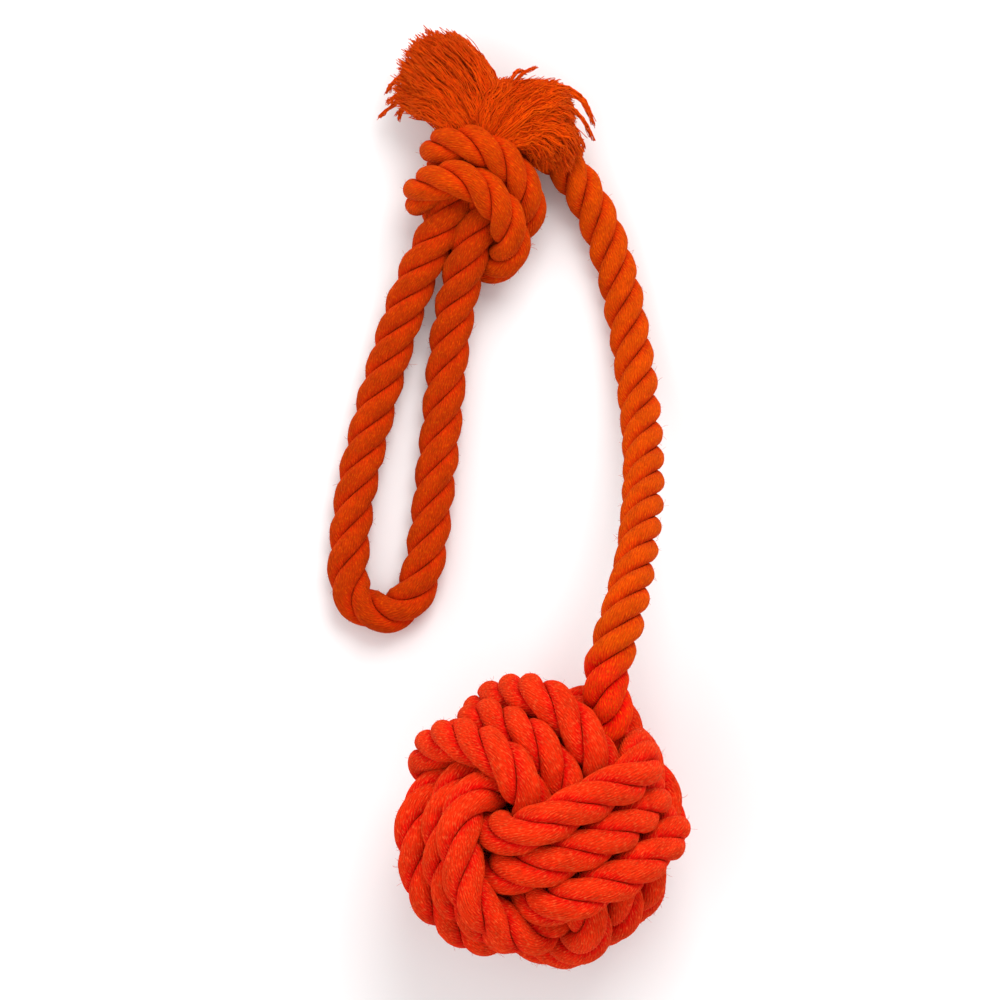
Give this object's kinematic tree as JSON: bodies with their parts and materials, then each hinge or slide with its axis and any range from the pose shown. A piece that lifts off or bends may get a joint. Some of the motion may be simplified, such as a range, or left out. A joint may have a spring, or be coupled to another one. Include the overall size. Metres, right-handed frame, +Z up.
{
  "type": "rope training bumper",
  "caption": "Rope training bumper: a monkey's fist rope ball on a rope stem, with a knotted hand loop and frayed rope ends.",
  "frame": {"origin": "middle of the footprint, on the surface that the bumper lies on", "axes": "+Y from the ball towards the frayed ends, +Z up, +X to the right"},
  "size_m": [0.0916, 0.2344, 0.0763],
  "materials": {
    "ball_rope": "soft twisted cotton, matt",
    "cord_rope": "soft twisted cotton, matt",
    "frayed_yarn": "loose cotton yarn, matt",
    "core": "packed cotton yarn, matt"
  },
  "bodies": {
    "ball": {"fist_core": "core", "fist_first_turn_1": "ball_rope", "fist_first_turn_2": "ball_rope", "fist_first_turn_3": "ball_rope", "fist_second_turn_1": "ball_rope", "fist_second_turn_2": "ball_rope", "fist_second_turn_3": "ball_rope", "fist_third_turn_1": "ball_rope", "fist_third_turn_2": "ball_rope", "fist_third_turn_3": "ball_rope", "stem_root": "ball_rope"},
    "stem": {"stem_rope_lower": "cord_rope", "stem_rope_upper": "cord_rope"},
    "knot": {"knot_heart": "cord_rope", "knot_upper_wrap": "cord_rope", "knot_middle_wrap": "cord_rope", "knot_lower_wrap": "cord_rope", "knot_stem_entry": "cord_rope", "loop_root_left": "cord_rope", "loop_root_right": "cord_rope", "tuft_neck": "cord_rope"},
    "loop": {"hand_loop": "cord_rope"},
    "left_tuft": {"left_tuft_root": "frayed_yarn", "left_tuft_top_strand": "frayed_yarn", "left_tuft_middle_strand": "frayed_yarn", "left_tuft_low_strand": "frayed_yarn"},
    "right_tuft": {"right_tuft_root": "frayed_yarn", "right_tuft_top_strand": "frayed_yarn", "right_tuft_middle_strand": "frayed_yarn", "right_tuft_low_strand": "frayed_yarn"}
  },
  "joints": [
    {"name": "stem_swing", "type": "hinge", "parent": "ball", "child": "stem", "pos_m": [0.02614, -0.0402, 0.05394], "axis": [0, 0, 1], "range_deg": [-30, 25]},
    {"name": "knot_swing", "type": "hinge", "parent": "stem", "child": "knot", "pos_m": [0.01194, 0.086, 0.00794], "axis": [0, 0, 1], "range_deg": [-40, 10]},
    {"name": "loop_lift", "type": "hinge", "parent": "knot", "child": "loop", "pos_m": [-0.01976, 0.04909, 0.00824], "axis": [-0.9859, 0.1671, 0], "range_deg": [0, 50]},
    {"name": "left_tuft_bend", "type": "hinge", "parent": "knot", "child": "left_tuft", "pos_m": [-0.01226, 0.0973, 0.01594], "axis": [0, 0, 1], "range_deg": [-20, 20]},
    {"name": "right_tuft_bend", "type": "hinge", "parent": "knot", "child": "right_tuft", "pos_m": [0.00574, 0.0943, 0.01744], "axis": [0, 0, 1], "range_deg": [-15, 20]}
  ]
}
